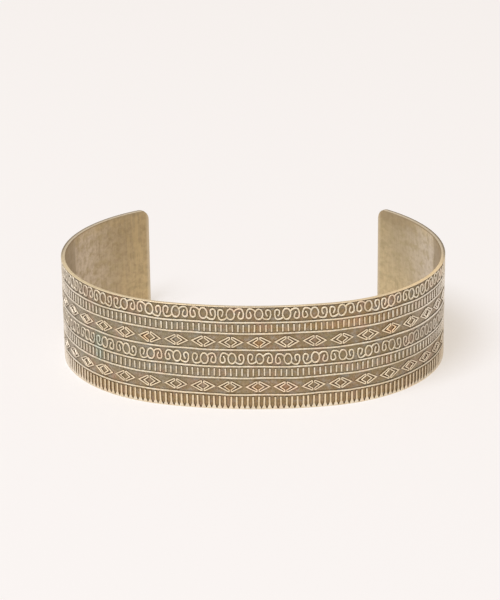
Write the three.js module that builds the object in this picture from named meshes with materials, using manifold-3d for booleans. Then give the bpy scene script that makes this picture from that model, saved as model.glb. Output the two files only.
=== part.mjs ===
// Cuff bangle: one strip of brass, struck with rows of raised ornament, trimmed to round corners
// and bent into an oval that stays open at the back. Millimetres, +Z up. The cuff stands on its
// lower edge with the middle of its ornament towards -Y and its mouth towards +Y.
import * as THREE from 'three';
import { mergeVertices } from 'three/addons/utils/BufferGeometryUtils.js';
import Module from 'manifold-3d';

// The strip: its ground is the recessed face between the raised lines.
const STRIP_HEIGHT = 19.05;
const GROUND_THICKNESS = 0.5;
const RELIEF = 0.22;
const TOP_CORNER_RADIUS = 1.9;
const LOW_CORNER_RADIUS = 0.9;

// The bend of the inner face, from the middle of the front to each end. It is bent by hand, so that
// the left end curls in a little more than the right.
// The sheet is bent with some length to spare, which is cut off at both ends.
const BENDS = [
  { stretch: 'front', leftRadius: 58.5, rightRadius: 58.5, length: 14.8 },
  { stretch: 'side', leftRadius: 25.75, rightRadius: 25.75, length: 31.6 },
  { stretch: 'back', leftRadius: 25.9, rightRadius: 30.25, length: 29.8 },
];
const END_SPARE = 5.6;

// The ornament repeats along the strip, and a raised line or rim parts each band from the next.
const UNITS = 34;
const UNIT_LENGTH = 4.7615;
const PATTERN_SHIFT = -0.265;
const BARS_PER_UNIT = 5;
const BANDS = [
  { ornament: 'bars', bottom: 0, top: 2.69, lowerSlope: 0.25, upperSlope: 0.3 },
  { ornament: 'diamonds', bottom: 2.69, top: 5.79, lowerSlope: 0.25, upperSlope: 0.25 },
  { ornament: 'bars', bottom: 5.79, top: 7.91, lowerSlope: 0.3, upperSlope: 0.3 },
  { ornament: 'scrolls', bottom: 7.91, top: 11.02, lowerSlope: 0.25, upperSlope: 0.25, turnedOver: 1 },
  { ornament: 'diamonds', bottom: 11.02, top: 14.06, lowerSlope: 0.25, upperSlope: 0.25 },
  { ornament: 'bars', bottom: 14.06, top: 16.11, lowerSlope: 0.3, upperSlope: 0.3 },
  { ornament: 'scrolls', bottom: 16.11, top: 19.05, lowerSlope: 0.25, upperSlope: 0.22, turnedOver: 0 },
];
const END_SLOPE = 0.3;

// Ridges of the diamonds and scrolls: a roof section, so wide at its foot.
const RIDGE_FOOT = 0.42;
const DIAMOND = { halfLength: 1.75, halfHeight: 0.8, halfGap: 0.15 };
const RING = { offset: 0, radiusAlong: 0.66, radiusUp: 0.85, startDegrees: 90, turnDegrees: 360, steps: 6 };
const HOOK = { offset: 1.58, radiusAlong: 0.4, radiusUp: 0.82, startDegrees: 40, turnDegrees: 290, steps: 4 };

const halfLength = BENDS.reduce((sum, bend) => sum + bend.length, 0);
const sheetHalfLength = halfLength + END_SPARE;
const patternStart = PATTERN_SHIFT - (UNITS * UNIT_LENGTH) / 2;
const patternEnd = PATTERN_SHIFT + (UNITS * UNIT_LENGTH) / 2;

// Strip coordinates: x along the strip, y up it and z out of its ground.
const points = [];
const faces = [];

function vertex(along, up, out) {
  return points.push(new THREE.Vector3(along, up, out)) - 1;
}

// Fills between two lines of vertices that both run along the named axis, the first on its right.
function stitch(first, second, axis) {
  let i = 0;
  let j = 0;
  while (i < first.length - 1 || j < second.length - 1) {
    const secondDone = j === second.length - 1;
    const firstIsNext =
      i < first.length - 1 && (secondDone || points[first[i + 1]][axis] <= points[second[j + 1]][axis]);
    if (firstIsNext) {
      faces.push([first[i], first[i + 1], second[j]]);
      i += 1;
    } else {
      faces.push([first[i], second[j + 1], second[j]]);
      j += 1;
    }
  }
}

function quad(a, b, c, d) {
  faces.push([a, b, c], [a, c, d]);
}

// A row of vertices over the pattern, between the edges of the plain raised metal at its two ends.
const leftEdge = [];
const rightEdge = [];

function row(positions, up, out) {
  const left = vertex(patternStart - END_SLOPE, up, RELIEF);
  const right = vertex(patternEnd + END_SLOPE, up, RELIEF);
  leftEdge.push(left);
  rightEdge.push(right);
  return [left, ...positions.map((along) => vertex(along, up, out)), right];
}

function spaced(count, step, offset) {
  return Array.from({ length: count }, (_, i) => patternStart + offset + i * step);
}

const barStep = UNIT_LENGTH / BARS_PER_UNIT;
const halfUnit = UNIT_LENGTH / 2;
const barPlaces = spaced(UNITS * BARS_PER_UNIT, barStep, barStep / 2);
const valleyPlaces = spaced(UNITS * BARS_PER_UNIT + 1, barStep, 0);
const groundPlaces = spaced(UNITS * 2 + 1, halfUnit, 0);

// Upright bars: roof ridges side by side, with a valley between each pair, that run into the lines
// above and below them.
function addBars(band, lowerCrest, upperCrest) {
  const low = row(valleyPlaces, band.bottom + band.lowerSlope, 0);
  const high = row(valleyPlaces, band.top - band.upperSlope, 0);
  for (let bar = 1; bar <= barPlaces.length; bar += 1) {
    quad(low[bar], lowerCrest[bar], upperCrest[bar], high[bar]);
    quad(lowerCrest[bar], low[bar + 1], high[bar + 1], upperCrest[bar]);
  }
  for (let valley = 1; valley <= valleyPlaces.length; valley += 1) {
    faces.push([lowerCrest[valley - 1], lowerCrest[valley], low[valley]]);
    faces.push([high[valley], upperCrest[valley], upperCrest[valley - 1]]);
  }
  const last = valleyPlaces.length;
  stitch([lowerCrest[0], low[1], high[1], upperCrest[0]], [low[0], high[0]], 'y');
  stitch([low[last + 1], high[last + 1]], [lowerCrest[last], low[last], high[last], upperCrest[last]], 'y');
}

// The path moved sideways to its right, with mitred corners.
function offsetPath(path, distance) {
  return path.map((point, i) => {
    const before = path[Math.max(i - 1, 0)];
    const after = path[Math.min(i + 1, path.length - 1)];
    const into = (i > 0 ? point.clone().sub(before) : after.clone().sub(point)).normalize();
    const onward = (i < path.length - 1 ? after.clone().sub(point) : into.clone()).normalize();
    const side = new THREE.Vector2(into.y + onward.y, -into.x - onward.x).normalize();
    const mitre = side.x * onward.y - side.y * onward.x;
    return point.clone().addScaledVector(side, distance / mitre);
  });
}

// A roof ridge along an open path. Returns its foot on the ground, as a loop.
function addRidge(path, centre) {
  const place = (out) => (point) => vertex(centre.x + point.x, centre.y + point.y, out);
  const right = offsetPath(path, RIDGE_FOOT / 2).map(place(0));
  const left = offsetPath(path, -RIDGE_FOOT / 2).map(place(0));
  const crest = path.map(place(RELIEF));
  const last = path.length - 1;
  for (let i = 0; i < last; i += 1) {
    quad(right[i], right[i + 1], crest[i + 1], crest[i]);
    quad(crest[i], crest[i + 1], left[i + 1], left[i]);
  }
  faces.push([left[0], right[0], crest[0]], [right[last], left[last], crest[last]]);
  return [...right, ...left.reverse()];
}

// A raised curl round a pit: a closed oval, or a hook with a mouth. Returns its foot on the ground.
function addCurl(curl, centre, side, flip) {
  const closed = curl.turnDegrees === 360;
  const pitAlong = centre.x + side * curl.offset;
  const pit = vertex(pitAlong, centre.y, 0);
  const foot = [];
  const crest = [];
  for (let step = 0; step < curl.steps + (closed ? 0 : 1); step += 1) {
    const angle = THREE.MathUtils.degToRad(curl.startDegrees + (curl.turnDegrees * step) / curl.steps);
    const reach = new THREE.Vector2(curl.radiusAlong * Math.cos(angle), curl.radiusUp * Math.sin(angle));
    reach.multiply(new THREE.Vector2(-side, -side * flip));
    crest.push(vertex(pitAlong + reach.x, centre.y + reach.y, RELIEF));
    reach.setLength(reach.length() + RIDGE_FOOT / 2);
    foot.push(vertex(pitAlong + reach.x, centre.y + reach.y, 0));
  }
  if (flip < 0) {
    foot.reverse();
    crest.reverse();
  }
  const last = crest.length - 1;
  for (let i = 0; i < (closed ? last + 1 : last); i += 1) {
    const next = (i + 1) % crest.length;
    quad(foot[i], foot[next], crest[next], crest[i]);
    faces.push([crest[i], crest[next], pit]);
  }
  if (closed) {
    return foot;
  }
  faces.push([pit, foot[0], crest[0]], [foot[last], pit, crest[last]]);
  return [...foot, pit];
}

// Two open chevrons, point outwards, that face each other over a small gap.
function addDiamond(centre) {
  return [-1, 1].map((side) => {
    const end = new THREE.Vector2(side * DIAMOND.halfGap, side * DIAMOND.halfHeight);
    const tip = new THREE.Vector2(side * DIAMOND.halfLength, 0);
    return addRidge([end, tip, new THREE.Vector2(end.x, -end.y)], centre);
  });
}

// A ring between two hooks that open towards it. The next scroll along is the same turned over.
function addScroll(centre, turnedOver) {
  const flip = turnedOver ? -1 : 1;
  return [addCurl(RING, centre, 1, flip), addCurl(HOOK, centre, -1, flip), addCurl(HOOK, centre, 1, flip)];
}

// A band of motifs, one to a unit, that stand clear of the lines on a flat ground.
function addMotifs(band, lowerCrest, upperCrest) {
  const low = row(groundPlaces, band.bottom + band.lowerSlope, 0);
  const high = row(groundPlaces, band.top - band.upperSlope, 0);
  stitch(lowerCrest, low, 'x');
  stitch(high, upperCrest, 'x');
  quad(low[0], low[1], high[1], high[0]);
  const up = (band.bottom + band.lowerSlope + band.top - band.upperSlope) / 2;
  for (let unit = 0; unit < UNITS; unit += 1) {
    const centre = new THREE.Vector2(patternStart + (unit + 0.5) * UNIT_LENGTH, up);
    const feet =
      band.ornament === 'scrolls' ? addScroll(centre, (unit + band.turnedOver) % 2) : addDiamond(centre);
    const first = 1 + unit * 2;
    addGround([...low.slice(first, first + 3), ...high.slice(first, first + 3).reverse()], feet);
  }
  const last = low.length - 1;
  quad(low[last - 1], low[last], high[last], high[last - 1]);
}

// Flat ground inside a loop of vertices and round the feet of what stands on it.
function addGround(edge, feet) {
  const flat = (loop) => loop.map((index) => new THREE.Vector2(points[index].x, points[index].y));
  const indices = [edge, ...feet].flat();
  for (const triangle of THREE.ShapeUtils.triangulateShape(flat(edge), feet.map(flat))) {
    faces.push(triangle.map((corner) => indices[corner]));
  }
}

// The struck face, band on band, with a crest between each pair.
function crestRow(below, above, up) {
  const besideBars = [below, above].some((band) => band?.ornament === 'bars');
  return row(besideBars ? barPlaces : groundPlaces, up, RELIEF);
}

const crests = [crestRow(undefined, BANDS[0], BANDS[0].bottom)];
BANDS.forEach((band, i) => {
  const lowerCrest = crests[i];
  const upperCrest = crestRow(band, BANDS[i + 1], band.top);
  crests.push(upperCrest);
  const addBand = band.ornament === 'bars' ? addBars : addMotifs;
  addBand(band, lowerCrest, upperCrest);
});

// The plain metal at both ends, and the back and edges of the strip.
const climbing = (a, b) => points[a].y - points[b].y;
leftEdge.sort(climbing);
rightEdge.sort(climbing);
const [faceLowLeft, faceHighLeft] = [0, STRIP_HEIGHT].map((up) => vertex(-sheetHalfLength, up, RELIEF));
const [faceLowRight, faceHighRight] = [0, STRIP_HEIGHT].map((up) => vertex(sheetHalfLength, up, RELIEF));
const backPlaces = [-sheetHalfLength, ...groundPlaces, sheetHalfLength];
const [backLow, backHigh] = [0, STRIP_HEIGHT].map((up) =>
  backPlaces.map((along) => vertex(along, up, -GROUND_THICKNESS)),
);
const lastBack = backPlaces.length - 1;
stitch(leftEdge, [faceLowLeft, faceHighLeft], 'y');
stitch([faceLowRight, faceHighRight], rightEdge, 'y');
stitch([faceHighLeft, ...crests[BANDS.length], faceHighRight], backHigh, 'x');
stitch(backLow, [faceLowLeft, ...crests[0], faceLowRight], 'x');
stitch(backHigh, backLow, 'x');
quad(faceLowLeft, faceHighLeft, backHigh[0], backLow[0]);
quad(faceHighRight, faceLowRight, backLow[lastBack], backHigh[lastBack]);

// The way the inner face runs at a distance along the strip: its place, and the angle it has turned by.
function bendAt(along) {
  const place = new THREE.Vector2();
  let left = Math.abs(along);
  let heading = 0;
  BENDS.forEach(({ leftRadius, rightRadius, length }, i) => {
    const radius = along < 0 ? leftRadius : rightRadius;
    const used = i === BENDS.length - 1 ? left : Math.min(left, length);
    const next = heading + used / radius;
    place.x += radius * (Math.sin(next) - Math.sin(heading));
    place.y += radius * (Math.cos(heading) - Math.cos(next));
    left -= used;
    heading = next;
  });
  return { place, heading };
}

// A point of the strip, bent: the inner face follows the bends and the ornament faces outwards.
function bentPoint(point) {
  const { place, heading } = bendAt(point.x);
  const out = GROUND_THICKNESS + point.z;
  const across = place.x + out * Math.sin(heading);
  return [point.x < 0 ? -across : across, place.y - out * Math.cos(heading), point.y];
}

const wasm = await Module();
wasm.setup();

function solidFrom(geometry) {
  geometry.deleteAttribute('normal');
  geometry.deleteAttribute('uv');
  const merged = mergeVertices(geometry);
  const vertProperties = merged.getAttribute('position').array;
  const triVerts = new Uint32Array(merged.getIndex().array);
  return new wasm.Manifold(new wasm.Mesh({ numProp: 3, vertProperties, triVerts }));
}

// What the shears take off one end of the sheet, to leave a straight end with round corners.
// Each corner's curve is centred a little low or high, so that it meets the long edge at an angle.
const SHEAR_OVERRUN = 0.07;
const SHEAR_SPARE = 1;
const SHEAR_DEPTH = 8;
const SHEAR_STEPS = 5;

function endShear(end) {
  const outside = -END_SPARE - SHEAR_SPARE;
  const lowCentre = LOW_CORNER_RADIUS - SHEAR_OVERRUN;
  const topCentre = STRIP_HEIGHT - TOP_CORNER_RADIUS + SHEAR_OVERRUN;
  const outline = new THREE.Shape();
  outline.moveTo(outside, -SHEAR_SPARE);
  outline.lineTo(LOW_CORNER_RADIUS, -SHEAR_SPARE);
  outline.absarc(LOW_CORNER_RADIUS, lowCentre, LOW_CORNER_RADIUS, -Math.PI / 2, -Math.PI, true);
  outline.absarc(TOP_CORNER_RADIUS, topCentre, TOP_CORNER_RADIUS, Math.PI, Math.PI / 2, true);
  outline.lineTo(TOP_CORNER_RADIUS, STRIP_HEIGHT + SHEAR_SPARE);
  outline.lineTo(outside, STRIP_HEIGHT + SHEAR_SPARE);
  const shear = new THREE.ExtrudeGeometry(outline, {
    depth: SHEAR_DEPTH,
    bevelEnabled: false,
    curveSegments: SHEAR_STEPS,
  });
  shear.translate(0, 0, -SHEAR_DEPTH / 2);
  const { place, heading } = bendAt(end * halfLength);
  const inwards = new THREE.Vector3(-end * Math.cos(heading), -Math.sin(heading), 0);
  const upwards = new THREE.Vector3(0, 0, 1);
  const through = new THREE.Vector3().crossVectors(inwards, upwards);
  const matrix = new THREE.Matrix4().makeBasis(inwards, upwards, through);
  matrix.setPosition(end * place.x, place.y, 0);
  return solidFrom(shear.applyMatrix4(matrix));
}

const bentStrip = new THREE.BufferGeometry();
bentStrip.setAttribute('position', new THREE.Float32BufferAttribute(points.flatMap(bentPoint), 3));
bentStrip.setIndex(faces.flat());
let cuffSolid = solidFrom(bentStrip);
for (const end of [-1, 1]) {
  cuffSolid = cuffSolid.subtract(endShear(end));
}

// The origin is on the surface that the cuff stands on, under the middle of its outline.
const cuffMesh = cuffSolid.getMesh();
const cuffGeometry = new THREE.BufferGeometry();
cuffGeometry.setAttribute('position', new THREE.Float32BufferAttribute(cuffMesh.vertProperties, 3));
cuffGeometry.setIndex(new THREE.Uint32BufferAttribute(cuffMesh.triVerts, 1));
cuffGeometry.computeBoundingBox();
const middle = cuffGeometry.boundingBox.getCenter(new THREE.Vector3());
cuffGeometry.translate(-middle.x, -middle.y, 0);
cuffGeometry.computeVertexNormals();

const brass = new THREE.MeshStandardMaterial({ color: 0xa98a5c, metalness: 1, roughness: 0.45 });
const cuff = new THREE.Mesh(cuffGeometry, brass);
cuff.name = 'cuff';

const bangle = new THREE.Group();
bangle.add(cuff);

export default bangle;
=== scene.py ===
import math
import random

import bmesh
import bpy
from mathutils import Euler, Matrix, Vector, noise


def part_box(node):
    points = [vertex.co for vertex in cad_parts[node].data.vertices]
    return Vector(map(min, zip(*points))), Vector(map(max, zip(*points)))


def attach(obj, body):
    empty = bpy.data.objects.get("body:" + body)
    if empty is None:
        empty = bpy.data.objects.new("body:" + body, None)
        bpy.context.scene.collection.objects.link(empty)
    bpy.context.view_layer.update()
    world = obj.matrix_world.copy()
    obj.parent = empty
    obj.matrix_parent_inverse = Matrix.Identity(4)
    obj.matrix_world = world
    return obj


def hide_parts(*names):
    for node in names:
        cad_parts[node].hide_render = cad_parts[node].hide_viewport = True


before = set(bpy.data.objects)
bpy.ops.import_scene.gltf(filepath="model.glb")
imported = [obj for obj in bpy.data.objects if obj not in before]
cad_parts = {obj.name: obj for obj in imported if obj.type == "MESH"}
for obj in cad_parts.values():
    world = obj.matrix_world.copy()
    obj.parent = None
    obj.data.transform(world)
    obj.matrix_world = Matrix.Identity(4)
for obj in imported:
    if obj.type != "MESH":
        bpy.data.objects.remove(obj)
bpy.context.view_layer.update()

# The camera stands in front of the cuff, a little to its right, and looks down over the front
# rim at the inside of the back. It is far off with a long lens, as for a small thing on a table.
CAMERA_DISTANCE = 0.4559
CAMERA_TURN = math.radians(2.66)
CAMERA_RISE = math.radians(21.55)
CAMERA_ROLL = math.radians(-0.6)
CAMERA_AIM = Vector((0.0, -0.00403, 0.009525))
LENS = 151.93
SENSOR = 36.0
SHIFT_ACROSS = -0.0035
SHIFT_UP = 0.0194
NEAREST = 0.01

camera_data = bpy.data.cameras.new("camera")
camera_data.lens = LENS
camera_data.sensor_width = SENSOR
camera_data.shift_x = SHIFT_ACROSS
camera_data.shift_y = SHIFT_UP
camera_data.clip_start = NEAREST
camera = bpy.data.objects.new("camera", camera_data)
bpy.context.scene.collection.objects.link(camera)
bpy.context.scene.camera = camera
towards_camera = Vector((
    math.sin(CAMERA_TURN) * math.cos(CAMERA_RISE),
    -math.cos(CAMERA_TURN) * math.cos(CAMERA_RISE),
    math.sin(CAMERA_RISE),
))
camera_view = (-towards_camera).to_track_quat("-Z", "Y").to_matrix().to_4x4()
camera_place = Matrix.Translation(CAMERA_AIM + CAMERA_DISTANCE * towards_camera)
camera.matrix_world = camera_place @ camera_view @ Matrix.Rotation(CAMERA_ROLL, 4, "Z")

# The cuff starts as flat brass sheet, longer and taller than it needs to be, which the rolls strike
# with ornament. It is drawn upright in millimetres: x along, z up, and -y out of the struck face.
MILLIMETRE = 0.001
cuff_low, cuff_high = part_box("cuff")
STRIP_HEIGHT = (cuff_high.z - cuff_low.z) / MILLIMETRE
STRIP_LENGTH = 152.4
GROUND = 0.50
RELIEF = 0.22
ROOT = 0.12
SHEET_SPARE = 1.5
COLUMNS = 128


def box_in(shape, low, high):
    """Adds a box between two corners and returns its vertices."""
    made = bmesh.ops.create_cube(shape, size=1.0)["verts"]
    low, high = Vector(low), Vector(high)
    bmesh.ops.scale(shape, vec=high - low, verts=made)
    bmesh.ops.translate(shape, vec=(low + high) / 2, verts=made)
    return made


def cut_columns(shape):
    """Cuts a long flat shape into columns, so that it can be bent."""
    for column in range(1, COLUMNS):
        place = (column / COLUMNS - 0.5) * STRIP_LENGTH
        geometry = shape.verts[:] + shape.edges[:] + shape.faces[:]
        bmesh.ops.bisect_plane(shape, geom=geometry, plane_co=(place, 0, 0), plane_no=(1, 0, 0))


def finished_mesh(shape, name):
    """Turns a shape into a mesh whose faces point outwards."""
    bmesh.ops.recalc_face_normals(shape, faces=shape.faces[:])
    mesh = bpy.data.meshes.new(name)
    shape.to_mesh(mesh)
    shape.free()
    return mesh


half_sheet = STRIP_LENGTH / 2 + SHEET_SPARE
sheet_shape = bmesh.new()
box_in(
    sheet_shape,
    (-half_sheet, -GROUND, -SHEET_SPARE),
    (half_sheet, SHEET_SPARE, STRIP_HEIGHT + SHEET_SPARE),
)
cut_columns(sheet_shape)
cuff = bpy.data.objects.new("cuff_struck", finished_mesh(sheet_shape, "cuff_struck"))
bpy.context.scene.collection.objects.link(cuff)


def combine(shape, operation="UNION"):
    """Joins a shape to the sheet, or cuts the sheet to it, and keeps one closed body."""
    tool_mesh = finished_mesh(shape, "tool")
    tool = bpy.data.objects.new("tool", tool_mesh)
    bpy.context.scene.collection.objects.link(tool)
    join = cuff.modifiers.new("join", "BOOLEAN")
    join.operation = operation
    join.solver = "MANIFOLD"
    join.object = tool
    view = bpy.context.evaluated_depsgraph_get()
    joined = bpy.data.meshes.new_from_object(cuff.evaluated_get(view))
    cuff.modifiers.remove(join)
    plain = cuff.data
    cuff.data = joined
    bpy.data.objects.remove(tool)
    bpy.data.meshes.remove(tool_mesh)
    bpy.data.meshes.remove(plain)


# Six raised lines run the whole length of the strip and part its bands of ornament. A thin rim closes
# the top and another the foot. They are struck in one pass with the rest and run out at the cut ends.
LINE_HEIGHTS = (2.69, 5.79, 7.91, 11.02, 14.06, 16.11)
LINE_WIDTH = 0.32
TOP_RIM = 0.14
LOW_RIM = 0.13
CREST_ROUNDING = 0.10
CREST_SEGMENTS = 2
SHARP_TURN = 0.5
SAME_LEVEL = 1e-5


def round_crest(shape, verts, rounding):
    """Rounds the edges where the outermost face of a shape meets its walls."""
    crest = min(vert.co.y for vert in verts)
    edges = dict.fromkeys(edge for vert in verts for edge in vert.link_edges)
    ridges = [
        edge for edge in edges
        if all(vert.co.y < crest + SAME_LEVEL for vert in edge.verts)
        and edge.calc_face_angle(0.0) > SHARP_TURN
    ]
    bmesh.ops.bevel(
        shape, geom=ridges, offset=rounding, offset_type="OFFSET", affect="EDGES",
        segments=CREST_SEGMENTS, profile=0.5, material=-1, clamp_overlap=True,
    )


def raised_box(shape, left, right, low, high):
    """Adds a bar that stands out of the ground, rooted in it, with a rounded crest."""
    made = box_in(shape, (left, -GROUND - RELIEF, low), (right, -GROUND + ROOT, high))
    round_crest(shape, made, CREST_ROUNDING)


lines_shape = bmesh.new()
for height in LINE_HEIGHTS:
    raised_box(lines_shape, -half_sheet, half_sheet, height - LINE_WIDTH / 2, height + LINE_WIDTH / 2)
raised_box(lines_shape, -half_sheet, half_sheet, STRIP_HEIGHT - TOP_RIM, STRIP_HEIGHT + SHEET_SPARE / 2)
raised_box(lines_shape, -half_sheet, half_sheet, -SHEET_SPARE / 2, LOW_RIM)
cut_columns(lines_shape)
combine(lines_shape)

# Two bands hold a running scroll: upright rings, each with a curled hook to its left and right. Each
# scroll is a half-round ridge drawn with compass arcs, and every second one is turned upside down.
UNITS = 34
UNIT_LENGTH = 4.7615
PATTERN_SHIFT = -0.265
SCROLL_BANDS = (
    {"up": 17.66, "along": 0.0, "first_turned": 1, "size": 1.06},
    {"up": 9.37, "along": 0.13, "first_turned": 0, "size": 1.03},
)
SCROLL_STROKE = 0.33
RIDGE = ((-0.62, -0.4), (-0.5, 0.35), (-0.3, 0.85), (0.0, 1.0), (0.3, 0.85), (0.5, 0.35), (0.62, -0.4))
RING_END_RADIUS = 0.51
RING_SIDE_RADIUS = 1.16
RING_END_TURN = 100.0
HOOK_START = (-0.56, 0.50)
HOOK_HEADING = 120.0
HOOK_ARCS = ((0.96, 62.0), (0.46, 60.0), (1.65, 43.0), (0.39, 83.0), (0.40, 86.0), (1.25, 31.0))
HOOK_TIP_RADIUS = 0.19
HOOK_TIP_COLUMNS = 10
HOOK_TIP_ROWS = 6
ARC_STEP = 20.0
UPWARDS = 90.0
HALF_TURN = 180.0
WELD = 0.001
UNEVEN_TURN = 0.03
UNEVEN_SIZE = 0.03
UNEVEN_ALONG = 0.04
UNEVEN_UP = 0.03
SCROLL_SEED = 11
hand = random.Random(SCROLL_SEED)


def sweep_arcs(shape, start, heading, arcs, closed=False):
    """Sweeps the ridge's section along arcs that turn left, given as (radius, degrees); returns the end."""
    place = Vector((start[0], -GROUND, start[1]))
    turn = math.radians(heading)
    side = Vector((-math.sin(turn), 0, math.cos(turn)))
    section = [
        shape.verts.new(place + side * across * SCROLL_STROKE + Vector((0, -out * RELIEF, 0)))
        for across, out in RIDGE
    ]
    rim = [shape.edges.new((one, other)) for one, other in zip(section, section[1:] + section[:1])]
    first_rim = list(rim)
    outline = section + rim
    for radius, degrees in arcs:
        centre = place + side * radius
        bend = math.radians(degrees)
        steps = max(2, round(degrees / ARC_STEP))
        spun = bmesh.ops.spin(
            shape, geom=outline, cent=centre, axis=(0, -1, 0), angle=bend, steps=steps, use_merge=False,
        )
        outline = spun["geom_last"]
        turn += bend
        side = Vector((-math.sin(turn), 0, math.cos(turn)))
        place = centre - side * radius
    if closed:
        bmesh.ops.remove_doubles(shape, verts=shape.verts[:], dist=WELD)
    else:
        last_rim = [part for part in outline if isinstance(part, bmesh.types.BMEdge)]
        bmesh.ops.holes_fill(shape, edges=first_rim, sides=len(RIDGE))
        bmesh.ops.holes_fill(shape, edges=last_rim, sides=len(RIDGE))
    return place


def strike(shape, punch, along, up, turned=1, mirrored=1, size=1.0):
    """Stamps a copy of a punch, a little unevenly, as by hand; turned and mirrored are 1 or -1."""
    before = len(shape.verts)
    shape.from_mesh(punch)
    shape.verts.ensure_lookup_table()
    tilt = Euler((0, hand.uniform(-UNEVEN_TURN, UNEVEN_TURN), 0)).to_matrix().to_4x4()
    size *= hand.uniform(1 - UNEVEN_SIZE, 1 + UNEVEN_SIZE)
    spread = Matrix.Diagonal((size * mirrored, 1.0, size * turned, 1.0))
    along += hand.uniform(-UNEVEN_ALONG, UNEVEN_ALONG)
    up += hand.uniform(-UNEVEN_UP, UNEVEN_UP)
    place = Matrix.Translation((along, 0, up))
    bmesh.ops.transform(shape, matrix=place @ tilt @ spread, verts=shape.verts[before:])


ring_shape = bmesh.new()
ring_end_lean = math.radians(RING_END_TURN / 2)
ring_half_width = RING_SIDE_RADIUS - (RING_SIDE_RADIUS - RING_END_RADIUS) * math.sin(ring_end_lean)
ring_side_turn = HALF_TURN - RING_END_TURN
ring_arcs = (
    (RING_SIDE_RADIUS, ring_side_turn / 2),
    (RING_END_RADIUS, RING_END_TURN),
    (RING_SIDE_RADIUS, ring_side_turn),
    (RING_END_RADIUS, RING_END_TURN),
    (RING_SIDE_RADIUS, ring_side_turn / 2),
)
sweep_arcs(ring_shape, (ring_half_width, 0.0), UPWARDS, ring_arcs, closed=True)
ring_punch = finished_mesh(ring_shape, "ring_punch")

hook_shape = bmesh.new()
hook_tip = sweep_arcs(hook_shape, HOOK_START, HOOK_HEADING, HOOK_ARCS)
hook_punch = finished_mesh(hook_shape, "hook_punch")

tip_shape = bmesh.new()
bmesh.ops.create_uvsphere(
    tip_shape, u_segments=HOOK_TIP_COLUMNS, v_segments=HOOK_TIP_ROWS, radius=HOOK_TIP_RADIUS,
)
bmesh.ops.scale(tip_shape, vec=(1, RELIEF / HOOK_TIP_RADIUS, 1), verts=tip_shape.verts)
bmesh.ops.translate(tip_shape, vec=hook_tip, verts=tip_shape.verts)
tip_punch = finished_mesh(tip_shape, "tip_punch")

for punch, sides in ((ring_punch, (1,)), (hook_punch, (1, -1)), (tip_punch, (1, -1))):
    hand.seed(SCROLL_SEED)
    scroll_shape = bmesh.new()
    for band in SCROLL_BANDS:
        for unit in range(UNITS):
            along = PATTERN_SHIFT + band["along"] + (unit - (UNITS - 1) / 2) * UNIT_LENGTH
            turned = 1 if (unit + band["first_turned"]) % 2 == 0 else -1
            for side in sides:
                strike(scroll_shape, punch, along, band["up"], turned * side, side, band["size"])
    combine(scroll_shape)

# Two narrow bands hold a row of short upright bars, five to each scroll, standing clear of the lines
# above and below them.
BAR_BANDS = (
    {"low": 14.37, "high": 15.76, "along": 0.25},
    {"low": 6.16, "high": 7.55, "along": -0.06},
)
BARS_PER_UNIT = 5
BAR_PITCH = UNIT_LENGTH / BARS_PER_UNIT
BAR_COUNT = UNITS * BARS_PER_UNIT
BAR_WIDTH = 0.29

bar_shape = bmesh.new()
bar_half = (BAR_BANDS[0]["high"] - BAR_BANDS[0]["low"]) / 2
raised_box(bar_shape, -BAR_WIDTH / 2, BAR_WIDTH / 2, -bar_half, bar_half)
bar_punch = finished_mesh(bar_shape, "bar_punch")
bars_shape = bmesh.new()
for band in BAR_BANDS:
    for bar in range(BAR_COUNT):
        along = PATTERN_SHIFT + band["along"] + (bar - (BAR_COUNT - 1) / 2) * BAR_PITCH
        strike(bars_shape, bar_punch, along, (band["low"] + band["high"]) / 2)
combine(bars_shape)

# Two wider bands hold a row of diamonds. Each is a pair of chevrons that point left and right and
# nearly meet in the middle. A chevron is a narrow raised border round a slot down to the ground.
DIAMOND_BANDS = (
    {"up": 12.47, "along": 0.0},
    {"up": 4.18, "along": -0.22},
)
CHEVRON_ARM = ((-0.36, 0.99), (-0.08, 0.96), (-0.05, 0.54))
CHEVRON_TIP = 2.17
CHEVRON_HOLLOW = 0.80
CHEVRON_BORDER = 0.21
CHEVRON_ROUNDING = 0.05
SLOT_SLOPE = 0.02
SLOT_DEPTH = RELIEF + ROOT / 2
DIAMOND_SEED = 23


def raised_outline(shape, outline, crest):
    """Raises a flat outline, given as (along, up) corners, and returns its outermost face."""
    foot = shape.faces.new([shape.verts.new((along, -GROUND + ROOT, up)) for along, up in outline])
    grown = bmesh.ops.extrude_face_region(shape, geom=[foot])["geom"]
    top = [part for part in grown if isinstance(part, bmesh.types.BMFace)][0]
    bmesh.ops.translate(shape, vec=(0, -ROOT - crest, 0), verts=top.verts)
    return top


lower_arm = tuple((along, -up) for along, up in reversed(CHEVRON_ARM))
chevron_outline = ((-CHEVRON_TIP, 0.0),) + CHEVRON_ARM + ((-CHEVRON_HOLLOW, 0.0),) + lower_arm
chevron_shape = bmesh.new()
chevron_top = raised_outline(chevron_shape, chevron_outline, RELIEF)
bmesh.ops.recalc_face_normals(chevron_shape, faces=chevron_shape.faces[:])
for step_in in (CHEVRON_BORDER, SLOT_SLOPE):
    bmesh.ops.inset_region(
        chevron_shape, faces=[chevron_top], thickness=step_in, use_even_offset=True, use_boundary=True,
    )
bmesh.ops.translate(chevron_shape, vec=(0, SLOT_DEPTH, 0), verts=chevron_top.verts)
bmesh.ops.recalc_face_normals(chevron_shape, faces=chevron_shape.faces[:])
round_crest(chevron_shape, chevron_shape.verts[:], CHEVRON_ROUNDING)
chevron_punch = finished_mesh(chevron_shape, "chevron_punch")
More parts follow.
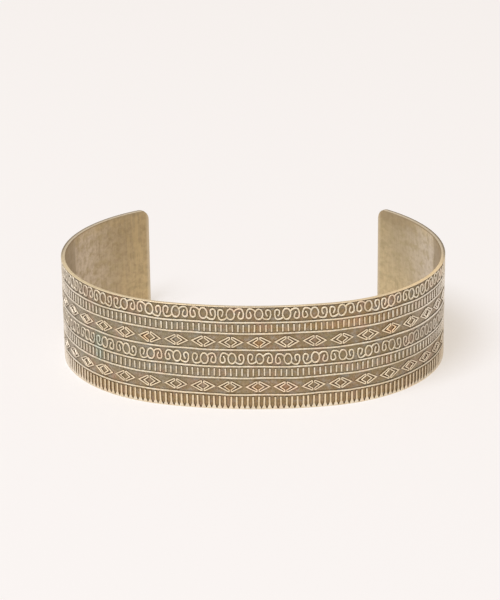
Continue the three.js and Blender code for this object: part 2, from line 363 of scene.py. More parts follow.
for side in (1, -1):
    hand.seed(DIAMOND_SEED)
    diamonds_shape = bmesh.new()
    for band in DIAMOND_BANDS:
        for unit in range(UNITS):
            along = PATTERN_SHIFT + band["along"] + (unit - (UNITS - 1) / 2) * UNIT_LENGTH
            strike(diamonds_shape, chevron_punch, along, band["up"], 1, side)
    combine(diamonds_shape)

# Along the foot stands a comb of tall bars. They flare where they meet the low rim, so that the slots
# between them end in points.
COMB_TOP = 2.36
COMB_FLARE = 0.78
COMB_FOOT = 0.06
COMB_WIDTH = 0.34
COMB_SHIFT = -0.13
COMB_CLEAR = 0.02

foot_half = BAR_PITCH / 2 - COMB_CLEAR
comb_outline = (
    (-COMB_WIDTH / 2, COMB_TOP), (-COMB_WIDTH / 2, COMB_FLARE), (-foot_half, COMB_FOOT),
    (foot_half, COMB_FOOT), (COMB_WIDTH / 2, COMB_FLARE), (COMB_WIDTH / 2, COMB_TOP),
)
comb_shape = bmesh.new()
raised_outline(comb_shape, comb_outline, RELIEF)
bmesh.ops.recalc_face_normals(comb_shape, faces=comb_shape.faces[:])
round_crest(comb_shape, comb_shape.verts[:], CREST_ROUNDING)
comb_punch = finished_mesh(comb_shape, "comb_punch")
combs_shape = bmesh.new()
for bar in range(BAR_COUNT):
    along = PATTERN_SHIFT + COMB_SHIFT + (bar - (BAR_COUNT - 1) / 2) * BAR_PITCH
    strike(combs_shape, comb_punch, along, 0.0)
combine(combs_shape)

# The struck sheet is cut to a strip with rounded corners and softened edges, then bent into the
# cuff: nearly flat across the front, round the sides, and open at the back. It is bent by hand, so that
# the left end curls in a little more than the right.
TOP_CORNER_RADIUS = 1.9
LOW_CORNER_RADIUS = 0.9
CORNER_SEGMENTS = 10
EDGE_ROUNDING = 0.11
EDGE_SEGMENTS = 3
CREST_SPARE = 0.03
BENDS = (
    {"left_radius": 58.5, "right_radius": 58.5, "length": 14.8},
    {"left_radius": 25.75, "right_radius": 25.75, "length": 31.6},
    {"left_radius": 25.9, "right_radius": 30.25, "length": 29.8},
)
WAVER = 0.035
WAVER_OUT = 0.5
WAVER_SPACING = 1.6
WAVER_SEED = 5
SWAY = 0.16
SWAY_SPACING = 6.0
STEADY_EDGE = 1.0
SHARP_ANGLE = math.radians(38.0)

die_shape = bmesh.new()
box_in(
    die_shape,
    (-STRIP_LENGTH / 2, -GROUND - RELIEF - CREST_SPARE, 0.0),
    (STRIP_LENGTH / 2, 0.0, STRIP_HEIGHT),
)
for corner_radius, at_top in ((TOP_CORNER_RADIUS, True), (LOW_CORNER_RADIUS, False)):
    corners = [
        edge for edge in die_shape.edges
        if abs(edge.verts[0].co.y - edge.verts[1].co.y) > GROUND
        and (edge.verts[0].co.z > STRIP_HEIGHT / 2) == at_top
    ]
    bmesh.ops.bevel(
        die_shape, geom=corners, offset=corner_radius, offset_type="OFFSET", affect="EDGES",
        segments=CORNER_SEGMENTS, profile=0.5, material=-1,
    )
rims = [edge for edge in die_shape.edges if abs(edge.verts[0].co.y - edge.verts[1].co.y) < GROUND]
bmesh.ops.bevel(
    die_shape, geom=rims, offset=EDGE_ROUNDING, offset_type="OFFSET", affect="EDGES",
    segments=EDGE_SEGMENTS, profile=0.5, material=-1,
)
cut_columns(die_shape)
combine(die_shape, "INTERSECT")


def bent(along, out, up):
    """Gives the place on the bent cuff of a point of the flat strip, both in millimetres."""
    x, y, heading, left = 0.0, 0.0, 0.0, abs(along)
    for bend in BENDS:
        used = min(left, bend["length"])
        radius = bend["left_radius"] if along < 0 else bend["right_radius"]
        turned = heading + used / radius
        x += radius * (math.sin(turned) - math.sin(heading))
        y += radius * (math.cos(heading) - math.cos(turned))
        heading = turned
        left -= used
    x += out * math.sin(heading)
    y -= out * math.cos(heading)
    return Vector((math.copysign(x, along), y, up))


front = Vector((0.0, cuff_low.y + (GROUND + RELIEF) * MILLIMETRE, cuff_low.z))
shape = bmesh.new()
shape.from_mesh(cuff.data)
bmesh.ops.dissolve_degenerate(shape, edges=shape.edges[:], dist=WELD)
bmesh.ops.triangulate(shape, faces=shape.faces[:])
strip_layer = shape.verts.layers.float_vector.new("strip")
noise.seed_set(WAVER_SEED)
for vert in shape.verts:
    along, out, up = vert.co.x, -vert.co.y, vert.co.z
    vert[strip_layer] = (along, up, out - GROUND)
    from_edge = min(up, STRIP_HEIGHT - up, STRIP_LENGTH / 2 - abs(along))
    clear = min(1.0, from_edge / STEADY_EDGE)
    waver = noise.noise_vector(vert.co / WAVER_SPACING) * WAVER * clear * min(1.0, out / GROUND)
    sway = noise.noise(Vector((along, up, 0.0)) / SWAY_SPACING) * SWAY * clear
    vert.co = front + bent(along + waver.x, out + waver.y * WAVER_OUT, up + waver.z + sway) * MILLIMETRE
shape.to_mesh(cuff.data)
shape.free()
cuff.data.shade_smooth()
cuff.data.set_sharp_from_angle(angle=SHARP_ANGLE)
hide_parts("cuff")
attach(cuff, "root")

# The brass has aged: brown patina lies in the hollows, the crests and edges are rubbed bright, and the
# inside keeps the tan, brushed face of the sheet. The finish is painted in the strip's own millimetres.
# A pair of numbers is the stretch over which a mask comes in or goes out; a share is its strength.


class Signal:
    """A shader socket that takes part in plain sums, so that a finish reads as arithmetic."""

    def __init__(self, tree, socket=None):
        self.tree = tree
        self.socket = socket

    def node(self, kind, settings, inputs, output=0):
        made = self.tree.nodes.new(kind)
        for name, value in settings.items():
            setattr(made, name, value)
        for name, value in inputs.items():
            if isinstance(value, Signal):
                self.tree.links.new(value.socket, made.inputs[name])
            else:
                made.inputs[name].default_value = value
        return Signal(self.tree, made.outputs[output])

    def sum(self, operation, one, other=0.0):
        return self.node("ShaderNodeMath", {"operation": operation}, {0: one, 1: other})

    def __add__(self, other):
        return self.sum("ADD", self, other)

    def __radd__(self, other):
        return self.sum("ADD", other, self)

    def __sub__(self, other):
        return self.sum("SUBTRACT", self, other)

    def __rsub__(self, other):
        return self.sum("SUBTRACT", other, self)

    def __mul__(self, other):
        return self.sum("MULTIPLY", self, other)

    def __rmul__(self, other):
        return self.sum("MULTIPLY", other, self)

    def __truediv__(self, other):
        return self.sum("DIVIDE", self, other)

    def __abs__(self):
        return self.sum("ABSOLUTE", self)

    def most(self, other):
        return self.sum("MAXIMUM", self, other)

    def rise(self, low, high):
        """Goes smoothly from 0 to 1 as the signal goes from low to high."""
        settings = {"interpolation_type": "SMOOTHSTEP"}
        return self.node("ShaderNodeMapRange", settings, {0: self, 1: low, 2: high})

    def fall(self, low, high):
        """Goes smoothly from 1 to 0 as the signal goes from low to high."""
        return 1 - self.rise(low, high)

    def noise(self, scale, detail, stretch=(1.0, 1.0, 1.0), roughness=0.6):
        """Gives cloudy noise over this place, about 0.5, with so many clouds to a millimetre."""
        place = self.node("ShaderNodeVectorMath", {"operation": "MULTIPLY"}, {0: self, 1: stretch})
        inputs = {"Vector": place, "Scale": scale, "Detail": detail, "Roughness": roughness}
        return self.node("ShaderNodeTexNoise", {"noise_dimensions": "3D"}, inputs)

    def about(self, middle, spread):
        """Turns noise into a value that wanders about a middle one."""
        return middle + spread * (self - 0.5)

    def ragged(self, cloud, reach):
        """Moves this signal up and down by a cloud of noise, so that what it masks gets a ragged edge."""
        return cloud.about(self, reach)

    def blend(self, one, other):
        """Mixes two colours, all of the other where this signal is 1."""
        return self.node("ShaderNodeMix", {"data_type": "RGBA"}, {0: self, 6: one, 7: other}, 2)

    def tint(self, colour, stain):
        """Multiplies a colour by a stain, fully where this signal is 1."""
        settings = {"data_type": "RGBA", "blend_type": "MULTIPLY"}
        return self.node("ShaderNodeMix", settings, {0: self, 6: colour, 7: stain}, 2)


def layered(colour, layers):
    """Lays colours over one another in turn, each where its mask says and at its share."""
    for layer in layers:
        colour = (layer["where"] * layer["share"]).blend(colour, layer["colour"])
    return colour


INSIDE_FADE = (0.01 - GROUND, 0.10 - GROUND)
CREST_FADE = (0.05, 0.17)
RIM_WIDTH = 0.16
RIM_CORE = 0.02
CREVICE_REACH = 0.45
CREVICE_SAMPLES = 6
FLAT = (1.0, 1.0, 0.0)
UPRIGHT = (1.0, 0.07, 1.0)
UPRIGHT_FLAT = (1.0, 0.09, 0.0)

brass = bpy.data.materials.new("aged_brass")
brass.use_nodes = True
tree = brass.node_tree
shader = tree.nodes["Principled BSDF"]
strip = Signal(tree).node("ShaderNodeAttribute", {"attribute_name": "strip"}, {}, "Vector")
along, up, out = (strip.node("ShaderNodeSeparateXYZ", {}, {0: strip}, axis) for axis in "XYZ")
aside = abs(along)
half_height = STRIP_HEIGHT / 2
half_length = STRIP_LENGTH / 2
from_middle = abs(up - half_height)

inside = out.fall(*INSIDE_FADE)
rim_along = from_middle.rise(half_height - RIM_WIDTH, half_height - RIM_CORE)
rim_ends = aside.rise(half_length - RIM_WIDTH, half_length - RIM_CORE)
rim = rim_along.most(rim_ends)
crest = out.rise(*CREST_FADE)
crevice_settings = {"samples": CREVICE_SAMPLES, "only_local": True}
crevice_inputs = {"Distance": CREVICE_REACH * MILLIMETRE}
openness = strip.node("ShaderNodeAmbientOcclusion", crevice_settings, crevice_inputs, "AO")

clouds = strip.noise(scale=0.09, detail=2.0, stretch=FLAT)
patches = strip.noise(scale=0.40, detail=3.0, stretch=FLAT)
tints = strip.noise(scale=0.28, detail=3.0, stretch=(1.0, 1.3, 0.0))
bloom = strip.noise(scale=0.5, detail=3.0, stretch=(1.0, 1.2, 0.0))
mottle = strip.noise(scale=1.1, detail=3.0, stretch=FLAT)
grain = strip.noise(scale=2.6, detail=4.0)
specks = strip.noise(scale=7.0, detail=3.0)
brushing = strip.noise(scale=3.2, detail=3.0, stretch=UPRIGHT)
streaks = strip.noise(scale=1.3, detail=2.0, stretch=UPRIGHT_FLAT)

# The finish knows each band of ornament by its height on the strip. Round the sides it lays a painted grey
# sheen over patina and crests, less of it low on the right, where the crests get painted shade.
COMB_FADE = (2.3, 2.9)
SCROLL_FADE = (1.1, 1.5)
BAR_FADE = (0.7, 1.2)
DIAMOND_FADE = (1.0, 1.3)
SIDE_START = (24.0, 42.0)
SIDE_END = (50.0, 60.0)
LOW_RIGHT_HEIGHT = (4.5, 8.5)
LOW_RIGHT_START = (18.0, 32.0)
LOW_RIGHT_KEPT = 0.5
RIGHT_SCROLL_START = (10.0, 24.0)

comb_foot = up.fall(*COMB_FADE)
on_upper_scroll, on_lower_scroll = (abs(up - band["up"]).fall(*SCROLL_FADE) for band in SCROLL_BANDS)
bar_middles = [(band["low"] + band["high"]) / 2 for band in BAR_BANDS]
on_upper_bars, on_lower_bars = (abs(up - middle).fall(*BAR_FADE) for middle in bar_middles)
on_bars = on_upper_bars + on_lower_bars
on_upper_diamonds, on_lower_diamonds = (abs(up - band["up"]).fall(*DIAMOND_FADE) for band in DIAMOND_BANDS)
on_diamonds = on_upper_diamonds + on_lower_diamonds
low_right = up.fall(*LOW_RIGHT_HEIGHT) * along.rise(*LOW_RIGHT_START)
right_scroll = on_upper_scroll * along.rise(*RIGHT_SCROLL_START)
round_side = aside.rise(*SIDE_START) * aside.fall(*SIDE_END) * (1 - LOW_RIGHT_KEPT * low_right)

# Patina in the hollows: olive and brown clouds, cool on the left, golden at the upper right and the foot,
# with blooms of rose, slate, grey and green, and a painted grey sheen round the sides. Grime and painted
# shade fill the corners, and rust and painted shade the diamonds' slots. Painted light lightens the
# patina on the right and on the bars and diamonds.
PATINA_OLIVE = (0.345, 0.265, 0.150, 1.0)
PATINA_BROWN = (0.350, 0.242, 0.138, 1.0)
PATINA_COOL = (0.318, 0.272, 0.186, 1.0)
PATINA_GOLD = (0.400, 0.270, 0.138, 1.0)
PATINA_GREY_AND_SHEEN = (0.450, 0.400, 0.330, 1.0)
PATINA_SLATE = (0.345, 0.335, 0.295, 1.0)
PATINA_ROSE = (0.440, 0.290, 0.200, 1.0)
PATINA_GREEN = (0.290, 0.256, 0.146, 1.0)
GRIME_AND_SHADE = (0.055, 0.035, 0.017, 1.0)
SLOT_RUST_AND_SHADE = (0.085, 0.036, 0.012, 1.0)
RIGHT_LIGHT = (1.25, 1.25, 1.25, 1.0)
CLOUD_EDGE = (0.38, 0.62)
COOL_END = (-16.0, 2.0)
COOL_FOOT = (2.5, 5.0)
COOL_TOP = (15.4, 17.0)
GOLD_START = (2.0, 14.0)
GOLD_END = (22.0, 32.0)
GOLD_FOOT = (13.4, 15.0)
GOLD_SHARE = 0.7
COMB_GOLD_SHARE = 0.85
ROSE_EDGE = (0.52, 0.68)
SLATE_EDGE = (0.48, 0.72)
GREY_EDGE = (0.50, 0.66)
GREY_SHARE = 0.5
COMB_KEPT = 0.6
RIGHT_SIDE_START = (32.0, 42.0)
RIGHT_SIDE_KEPT = 0.5
RIGHT_SCROLL_KEPT = 0.5
GREEN_EDGE = (0.32, 0.46)
SOIL_EDGE = (0.30, 0.58)
SOIL_SHARE = 0.36
CREVICE_FADE = (0.40, 0.88)
CREVICE_SHARE = 0.90
CREVICE_PATCHINESS = 0.4
SIDE_CREVICE_EASED = 0.25
BARS_CREVICE_EASED = 0.35
LIT_START = (8.0, 22.0)
LIT_SHARE = 0.45
LIT_ORNAMENT_SHARE = 0.35
LIT_DIAMONDS_START = (20.0, 36.0)
LIT_DIAMONDS_SHARE = 0.5

cooled = along.fall(*COOL_END) * up.rise(*COOL_FOOT) * up.fall(*COOL_TOP)
warmed = along.rise(*GOLD_START) * along.fall(*GOLD_END) * up.rise(*GOLD_FOOT)
gilded = (warmed * GOLD_SHARE).most(comb_foot * COMB_GOLD_SHARE)
right_side = along.rise(*RIGHT_SIDE_START)
kept_scroll = 1 - RIGHT_SCROLL_KEPT * right_scroll
# Painted sheen: round the sides the patina is greyed, less so at the comb, the right and the upper right
# scroll; the grey mottles are the patina's own.
side_sheen = round_side * (1 - COMB_KEPT * comb_foot) * (1 - RIGHT_SIDE_KEPT * right_side) * kept_scroll
grey_and_sheen = side_sheen.most(mottle.rise(*GREY_EDGE) * GREY_SHARE)
patina = layered(PATINA_OLIVE, (
    {"where": clouds.rise(*CLOUD_EDGE), "share": 1.0, "colour": PATINA_BROWN},
    {"where": cooled, "share": 0.8, "colour": PATINA_COOL},
    {"where": gilded, "share": 1.0, "colour": PATINA_GOLD},
    {"where": tints.rise(*ROSE_EDGE), "share": 0.75, "colour": PATINA_ROSE},
    {"where": bloom.rise(*SLATE_EDGE) * (1 - comb_foot), "share": 0.65, "colour": PATINA_SLATE},
    {"where": grey_and_sheen, "share": 1.0, "colour": PATINA_GREY_AND_SHEEN},
    {"where": mottle.fall(*GREEN_EDGE), "share": 0.6, "colour": PATINA_GREEN},
))
soil = grain.fall(*SOIL_EDGE) * SOIL_SHARE
# Painted shade: the cuff's own occlusion darkens the corners and the diamonds' slots, mixed there with
# grime and rust; the soil is real grime.
crevice_shade_and_grime = openness.fall(*CREVICE_FADE) * patches.about(CREVICE_SHARE, CREVICE_PATCHINESS)
crevice_shade_and_grime = crevice_shade_and_grime * (1 - SIDE_CREVICE_EASED * round_side) * (1 - BARS_CREVICE_EASED * on_bars)
patina = soil.most(crevice_shade_and_grime).blend(patina, on_diamonds.blend(GRIME_AND_SHADE, SLOT_RUST_AND_SHADE))
# Painted light: the patina is lightened towards the right of the front, most on the bars, and on the bars
# and diamonds, most of all the right-hand diamonds.
lit = along.rise(*LIT_START) * aside.fall(*SIDE_END) * (LIT_SHARE + (1 - LIT_SHARE) * on_bars)
lit = lit.most(LIT_ORNAMENT_SHARE * (on_bars + on_diamonds))
lit = lit + LIT_DIAMONDS_SHARE * on_diamonds * along.rise(*LIT_DIAMONDS_START)
patina = lit.tint(patina, RIGHT_LIGHT)

# Rubbed crests: bright brass, paler and rosier in patches, golden on the comb, warm on the diamonds and
# with a painted grey sheen round the sides. Towards the sides, most of all on the left, and low on the
# right, painted shade darkens the ornament.
CREST_BRASS = (0.80, 0.68, 0.475, 1.0)
CREST_PALE = (0.90, 0.83, 0.69, 1.0)
CREST_ROSE = (0.89, 0.69, 0.52, 1.0)
CREST_GOLD = (0.86, 0.66, 0.39, 1.0)
CREST_SIDE_SHEEN = (0.94, 0.88, 0.80, 1.0)
CREST_WARM = (0.94, 0.79, 0.56, 1.0)
CREST_SHADE = (0.37, 0.305, 0.22, 1.0)
PALE_EDGE = (0.38, 0.62)
ROSY_EDGE = (0.45, 0.70)
COMB_BARS_FOOT = (0.3, 0.8)
LOW_RIM_TOP = (0.3, 0.7)
UPPER_LEFT_END = (-36.0, -16.0)
UPPER_LEFT_DULL = 0.45
UPPER_RIGHT_START = (24.0, 38.0)
UPPER_RIGHT_DULL = 0.1
LOWER_SIDE_START = (14.0, 34.0)
LOWER_SIDE_DULL = 0.4
LOWER_LEFT_END = (-42.0, -30.0)
LOWER_LEFT_DULL = 0.25
LOW_RIGHT_DULL = 0.25
DIAMOND_LEFT_END = (-44.0, -28.0)
DIAMOND_LEFT_DULL = 0.5
RUBBED_LEAST = 0.78
RUBBED_EDGE = (0.35, 0.60)

# Painted shade on the crests of the scrolls, the diamonds and the low rim, set by place along the strip.
upper_scroll_shade = along.fall(*UPPER_LEFT_END) * UPPER_LEFT_DULL
upper_scroll_shade = upper_scroll_shade + along.rise(*UPPER_RIGHT_START) * UPPER_RIGHT_DULL
lower_scroll_shade = aside.rise(*LOWER_SIDE_START) * LOWER_SIDE_DULL
lower_scroll_shade = lower_scroll_shade + along.fall(*LOWER_LEFT_END) * LOWER_LEFT_DULL
shaded_crests = (on_upper_scroll * upper_scroll_shade).most(on_lower_scroll * lower_scroll_shade)
shaded_crests = shaded_crests.most(low_right * up.rise(*LOW_RIM_TOP) * LOW_RIGHT_DULL)
shaded_crests = shaded_crests.most(on_diamonds * along.fall(*DIAMOND_LEFT_END) * DIAMOND_LEFT_DULL)
crest_colour = layered(CREST_BRASS, (
    {"where": grain.rise(*PALE_EDGE), "share": 1.0, "colour": CREST_PALE},
    {"where": tints.rise(*ROSY_EDGE), "share": 0.6, "colour": CREST_ROSE},
    {"where": comb_foot * up.rise(*COMB_BARS_FOOT), "share": 0.5, "colour": CREST_GOLD},
    {"where": on_diamonds, "share": 0.7, "colour": CREST_WARM},
    {"where": round_side * kept_scroll, "share": 0.8, "colour": CREST_SIDE_SHEEN},
    {"where": shaded_crests, "share": 1.0, "colour": CREST_SHADE},
))
rubbed = crest * (RUBBED_LEAST + (1 - RUBBED_LEAST) * patches.rise(*RUBBED_EDGE))
face_colour = rubbed.blend(patina, crest_colour)

# Stains that lie over hollows and crests alike: a teal one on the left, amber and pink ones on the
# front, and a rusty one on a diamond here and there.
TEAL = (0.91, 1.05, 1.13, 1.0)
AMBER = (1.10, 1.01, 0.84, 1.0)
RUST = (1.20, 0.98, 0.76, 1.0)
PINK = (1.10, 1.02, 1.05, 1.0)
STAINS = (
    {"along": -27.8, "up": 8.4, "wide": 1.4, "tall": 2.9, "tint": TEAL, "share": 0.95},
    {"along": 15.6, "up": 15.2, "wide": 8.0, "tall": 1.1, "tint": AMBER, "share": 0.5},
    {"along": 3.6, "up": 14.8, "wide": 4.5, "tall": 0.9, "tint": AMBER, "share": 0.5},
    {"along": 5.1, "up": 3.9, "wide": 7.0, "tall": 1.5, "tint": PINK, "share": 0.6},
    {"along": -17.6, "up": 12.4, "wide": 0.9, "tall": 0.7, "tint": RUST, "share": 0.6},
    {"along": 2.0, "up": 12.4, "wide": 0.9, "tall": 0.7, "tint": RUST, "share": 0.6},
    {"along": 25.9, "up": 12.4, "wide": 1.4, "tall": 0.8, "tint": RUST, "share": 0.6},
    {"along": -3.0, "up": 4.1, "wide": 0.8, "tall": 0.6, "tint": RUST, "share": 0.5},
    {"along": 1.8, "up": 4.1, "wide": 0.8, "tall": 0.6, "tint": RUST, "share": 0.4},
    {"along": 6.5, "up": 4.1, "wide": 0.8, "tall": 0.6, "tint": RUST, "share": 0.4},
)
STAIN_RAGGEDNESS = 1.6
STAIN_FADE = (0.25, 1.15)

for stain in STAINS:
    from_left = (along - stain["along"]) / stain["wide"]
    from_below = (up - stain["up"]) / stain["tall"]
    far = (from_left * from_left + from_below * from_below).ragged(patches, STAIN_RAGGEDNESS)
    face_colour = (far.fall(*STAIN_FADE) * stain["share"]).tint(face_colour, stain["tint"])

# Brushed inside: rosy metal with a painted sheen that turns tan at the ends and yellow near the edges, with
# olive blooms and upright brush marks, and painted shade round the bend. The right wing is lightened with
# painted light, painted shade lines the inside under the rim, and the left end has yellow streaks.
INSIDE_TAN = (0.500, 0.391, 0.241, 1.0)
INSIDE_ROSY_SHEEN = (0.655, 0.545, 0.412, 1.0)
INSIDE_YELLOW = (0.610, 0.465, 0.255, 1.0)
INSIDE_OLIVE = (0.440, 0.345, 0.190, 1.0)
INSIDE_SHADE = (0.395, 0.315, 0.215, 1.0)
INSIDE_BROWN = (0.270, 0.185, 0.105, 1.0)
END_WEAR = (0.70, 0.60, 0.44, 1.0)
RIGHT_WING_LIGHT = (1.12, 1.19, 1.30, 1.0)
RIGHT_WING_START = (50.0, 60.0)
ROSE_END = (58.0, 71.0)
ROSE_RAGGEDNESS = 6.0
YELLOW_EDGE = (half_height - 3.0, half_height + 1.0)
YELLOW_END = (half_length - 6.0, half_length + 1.0)
YELLOW_RAGGEDNESS = 5.0
WING_START = (60.0, 72.0)
LEFT_END_START = (66.0, 75.0)
LEFT_TO_RIGHT = (-10.0, 10.0)
LOW_END_TOP = (4.0, 13.0)
LOW_END_RAGGEDNESS = 6.0
OLIVE_EDGE = (0.46, 0.64)
BRUSH_EDGE = (0.34, 0.60)
BRUSH_SHARE = 0.15
BLOTCH_EDGE = (0.38, 0.58)
BLOTCH_SHARE = 0.25
SMOOTH_START = (40.0, 56.0)
SMOOTHNESS = 0.4
CORNER_FOOT = (14.5, 18.6)
CORNER_START = (61.0, 69.0)
CORNER_RAGGEDNESS = 3.0
BEND_SHADE_EDGE = (55.8, 57.0)
BEND_SHADE_LEAN = 0.015
STREAK_END = (-74.5, -67.5)
STREAK_EDGE = (0.46, 0.62)
TOP_LINE_FOOT = (STRIP_HEIGHT - 1.1, STRIP_HEIGHT - 0.2)
INNER_LINE_FOOT = (STRIP_HEIGHT - 0.42, STRIP_HEIGHT - 0.20)
INNER_LINE_START = (38.0, 46.0)
INNER_LINE_END = (62.0, 73.0)
END_LINE_START = (half_length - 0.9, half_length - 0.1)

# Painted sheen with a rosy tone: the inside is paler and rosier from the bend to near the ends.
rosy_sheen = aside.ragged(patches, ROSE_RAGGEDNESS).fall(*ROSE_END)
near_edge = from_middle.ragged(patches, YELLOW_RAGGEDNESS).rise(*YELLOW_EDGE)
near_end = aside.ragged(tints, YELLOW_RAGGEDNESS).rise(*YELLOW_END)
left_front = aside.fall(*LEFT_END_START) * along.fall(*LEFT_TO_RIGHT)
low_end = aside.rise(*WING_START) * (1 - left_front)
low_end = low_end * up.ragged(patches, LOW_END_RAGGEDNESS).fall(*LOW_END_TOP)
inside_colour = layered(INSIDE_TAN, (
    {"where": rosy_sheen, "share": 1.0, "colour": INSIDE_ROSY_SHEEN},
    {"where": near_edge.most(near_end), "share": 0.7, "colour": INSIDE_YELLOW},
    {"where": low_end, "share": 0.7, "colour": INSIDE_YELLOW},
    {"where": bloom.rise(*OLIVE_EDGE), "share": 0.55, "colour": INSIDE_OLIVE},
))
# Painted light: the right wing's inside is lightened and cooled.
inside_colour = along.rise(*RIGHT_WING_START).tint(inside_colour, RIGHT_WING_LIGHT)
stroke_marks = brushing.fall(*BRUSH_EDGE) * BRUSH_SHARE + mottle.fall(*BLOTCH_EDGE) * BLOTCH_SHARE
stroke_marks = stroke_marks * (1 - SMOOTHNESS * along.rise(*SMOOTH_START))
top_corner = up.ragged(patches, CORNER_RAGGEDNESS).rise(*CORNER_FOOT) * along.rise(*CORNER_START)
# Painted shade: the inside darkens round the bend, from a sharp upright edge that leans a little along the
# strip.
round_bend = (aside - BEND_SHADE_LEAN * along).fall(*BEND_SHADE_EDGE)
left_streaks = along.fall(*STREAK_END) * streaks.rise(*STREAK_EDGE)
# Painted shade: dark lines along the inside just under the rim, round the sides and the wings.
top_line = up.rise(*TOP_LINE_FOOT) * aside.rise(*WING_START)
inner_line = up.rise(*INNER_LINE_FOOT) * aside.rise(*INNER_LINE_START) * aside.fall(*INNER_LINE_END)
inside_colour = layered(inside_colour, (
    {"where": stroke_marks, "share": 1.0, "colour": INSIDE_BROWN},
    {"where": top_corner, "share": 0.35, "colour": INSIDE_BROWN},
    {"where": round_bend, "share": 0.65, "colour": INSIDE_SHADE},
    {"where": left_streaks, "share": 0.6, "colour": INSIDE_YELLOW},
    {"where": top_line, "share": 0.4, "colour": INSIDE_SHADE},
    {"where": inner_line, "share": 0.6, "colour": INSIDE_BROWN},
    {"where": aside.rise(*END_LINE_START), "share": 0.8, "colour": END_WEAR},
))
colour = inside.blend(face_colour, inside_colour)

# Worn rim: creamy on the left and peach on the right, dull at the middle of the front and round the back,
# where its outer corner is brown.
RIM_GOLD = (0.74, 0.61, 0.42, 1.0)
RIM_CREAM = (0.77, 0.64, 0.43, 1.0)
RIM_PEACH = (0.88, 0.690, 0.435, 1.0)
RIM_DULL = (0.62, 0.53, 0.40, 1.0)
RIM_BROWN = (0.20, 0.155, 0.105, 1.0)
CREAM_END = (-34.0, -14.0)
CREAM_RAGGEDNESS = 8.0
PEACH_START = (14.0, 34.0)
RIM_DULL_START = (38.0, 54.0)
RIM_DULL_MIDDLE = 1.0
RIM_DULL_FADE = (2.0, 8.0)
RIM_DULL_SHARE = 0.6
OUTER_CORNER = (-0.20, 0.0)
OUTER_CORNER_START = (42.0, 52.0)

dull_middle = abs(along - RIM_DULL_MIDDLE).fall(*RIM_DULL_FADE) * RIM_DULL_SHARE
outer_corner = out.rise(*OUTER_CORNER) * aside.rise(*OUTER_CORNER_START)
rim_colour = layered(RIM_GOLD, (
    {"where": along.ragged(patches, CREAM_RAGGEDNESS).fall(*CREAM_END), "share": 1.0, "colour": RIM_CREAM},
    {"where": along.rise(*PEACH_START), "share": 1.0, "colour": RIM_PEACH},
    {"where": aside.rise(*RIM_DULL_START).most(dull_middle), "share": 1.0, "colour": RIM_DULL},
    {"where": outer_corner, "share": 0.8, "colour": RIM_BROWN},
    {"where": soil, "share": 0.5, "colour": GRIME_AND_SHADE},
))
colour = rim.blend(colour, rim_colour)
tree.links.new(colour.socket, shader.inputs["Base Color"])

# The rubbed metal shines more than the patina. Grain and brush marks are fine enough for bump.
GRAZING_TINT = (0.65, 0.61, 0.56, 1.0)
GRAZING_LEVEL = 0.2
PATINA_METAL = 0.55
PATINA_ROUGHNESS = 0.60
CREST_POLISH = 0.14
INSIDE_POLISH = 0.10
SCROLL_MATTNESS = 0.16
SPECK_ROUGHNESS = 0.14
BUMP_HEIGHT = 0.03
BUMP_SHARES = {"grain": 0.6, "specks": 0.25, "brushing": 0.5}

shader.inputs["Specular Tint"].default_value = GRAZING_TINT
shader.inputs["Specular IOR Level"].default_value = GRAZING_LEVEL
metallic = PATINA_METAL + (1 - PATINA_METAL) * crest.most(inside).most(rim)
tree.links.new(metallic.socket, shader.inputs["Metallic"])
roughness = PATINA_ROUGHNESS - CREST_POLISH * crest.most(rim) - INSIDE_POLISH * inside
roughness = roughness.ragged(specks, SPECK_ROUGHNESS)
roughness = roughness + SCROLL_MATTNESS * crest * (on_upper_scroll + on_lower_scroll)
tree.links.new(roughness.socket, shader.inputs["Roughness"])
height = BUMP_SHARES["grain"] * grain + BUMP_SHARES["specks"] * specks
height = height + BUMP_SHARES["brushing"] * inside * brushing
bump_inputs = {"Strength": 1.0, "Distance": BUMP_HEIGHT * MILLIMETRE, "Height": height}
bump = strip.node("ShaderNodeBump", {}, bump_inputs)
tree.links.new(bump.socket, shader.inputs["Normal"])
cuff.data.materials.clear()
cuff.data.materials.append(brass)

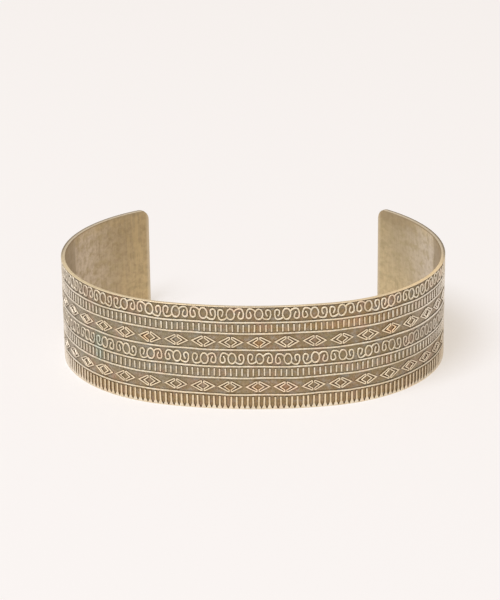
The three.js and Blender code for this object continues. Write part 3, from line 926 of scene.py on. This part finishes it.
# The cuff stands on a pale paper floor in a white studio. Soft light comes from all round, with a
# large lamp above, in front and to the left that leaves a faint shadow on the right.
FLOOR_COLOUR = (0.953, 0.909, 0.889, 1.0)
FLOOR_GLOW = (0.63, 0.59, 0.52)
FLOOR_HALF = 3.0
PAPER_ROUGHNESS = 0.9
ROOM_COLOUR = (1.0, 0.98, 0.96, 1.0)
ROOM_STRENGTH = 0.97
ROOM_DIMMED = 0.34
LAMP_PLACE = Vector((-0.75, -0.95, 2.10))
LAMP_SIZE = 1.2
LAMP_POWER = 47.0

floor_shape = bmesh.new()
bmesh.ops.create_grid(floor_shape, x_segments=1, y_segments=1, size=FLOOR_HALF)
floor = bpy.data.objects.new("floor", finished_mesh(floor_shape, "floor"))
bpy.context.scene.collection.objects.link(floor)
paper = bpy.data.materials.new("paper")
paper.use_nodes = True
paper_shader = paper.node_tree.nodes["Principled BSDF"]
matt_colour = [part * (1 - glow) for part, glow in zip(FLOOR_COLOUR, FLOOR_GLOW)]
glow_colour = [part * glow for part, glow in zip(FLOOR_COLOUR, FLOOR_GLOW)]
paper_shader.inputs["Base Color"].default_value = (*matt_colour, 1.0)
paper_shader.inputs["Emission Color"].default_value = (*glow_colour, 1.0)
paper_shader.inputs["Emission Strength"].default_value = 1.0
paper_shader.inputs["Roughness"].default_value = PAPER_ROUGHNESS
paper_shader.inputs["Specular IOR Level"].default_value = 0.0
floor.data.materials.append(paper)

room = bpy.data.worlds.new("room")
room.use_nodes = True
background = room.node_tree.nodes["Background"]
background.inputs["Color"].default_value = ROOM_COLOUR
on_matt = Signal(room.node_tree).node("ShaderNodeLightPath", {}, {}, "Is Diffuse Ray")
strength = ROOM_STRENGTH - (ROOM_STRENGTH - ROOM_DIMMED) * on_matt
room.node_tree.links.new(strength.socket, background.inputs["Strength"])
bpy.context.scene.world = room

lamp_data = bpy.data.lights.new("lamp", "AREA")
lamp_data.energy = LAMP_POWER
lamp_data.size = LAMP_SIZE
lamp = bpy.data.objects.new("lamp", lamp_data)
bpy.context.scene.collection.objects.link(lamp)
lamp_view = (-LAMP_PLACE).to_track_quat("-Z", "Y").to_matrix().to_4x4()
lamp.matrix_world = Matrix.Translation(LAMP_PLACE) @ lamp_view
bpy.context.scene.view_settings.view_transform = "Standard"
